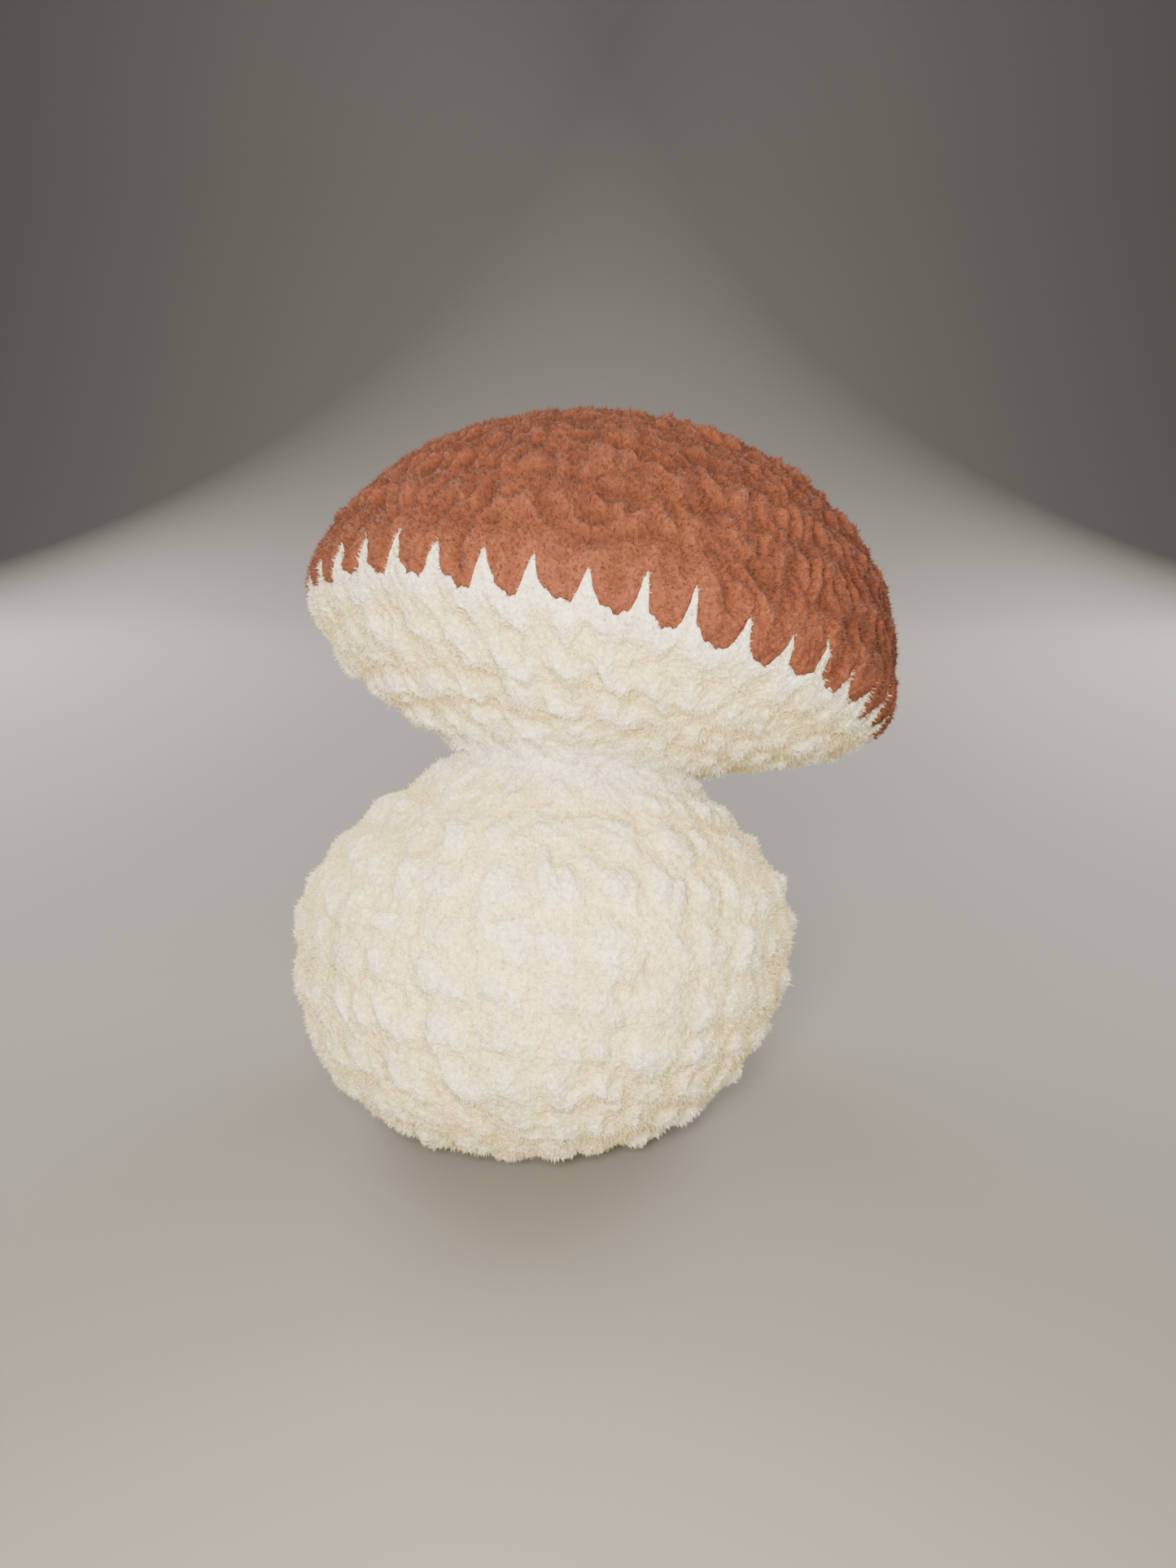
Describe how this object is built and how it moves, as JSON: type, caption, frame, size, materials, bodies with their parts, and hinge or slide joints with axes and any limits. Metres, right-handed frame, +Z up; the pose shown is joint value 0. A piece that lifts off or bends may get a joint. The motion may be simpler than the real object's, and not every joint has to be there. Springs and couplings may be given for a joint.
{
  "type": "crocheted mushroom plush toy",
  "caption": "Stuffed crochet mushroom with a rounded brown cap over a cream underside and a fat onion-shaped stem, leaning back on a flattened foot.",
  "frame": {"origin": "centre of the flat patch that the stem's foot stands on", "axes": "+Z up, -Y to the front, so that the cap leans back to +Y and a little to +X"},
  "size_m": [0.1434, 0.1456, 0.1641],
  "materials": {
    "brown_chenille": "fluffy chenille yarn, matt, terracotta brown",
    "cream_chenille": "fluffy chenille yarn, matt, cream white",
    "polyester_filling": "loose white fibrefill"
  },
  "bodies": {
    "root": {"cap_top": "brown_chenille", "underside_and_stem": "cream_chenille", "stuffing": "polyester_filling"}
  },
  "joints": []
}
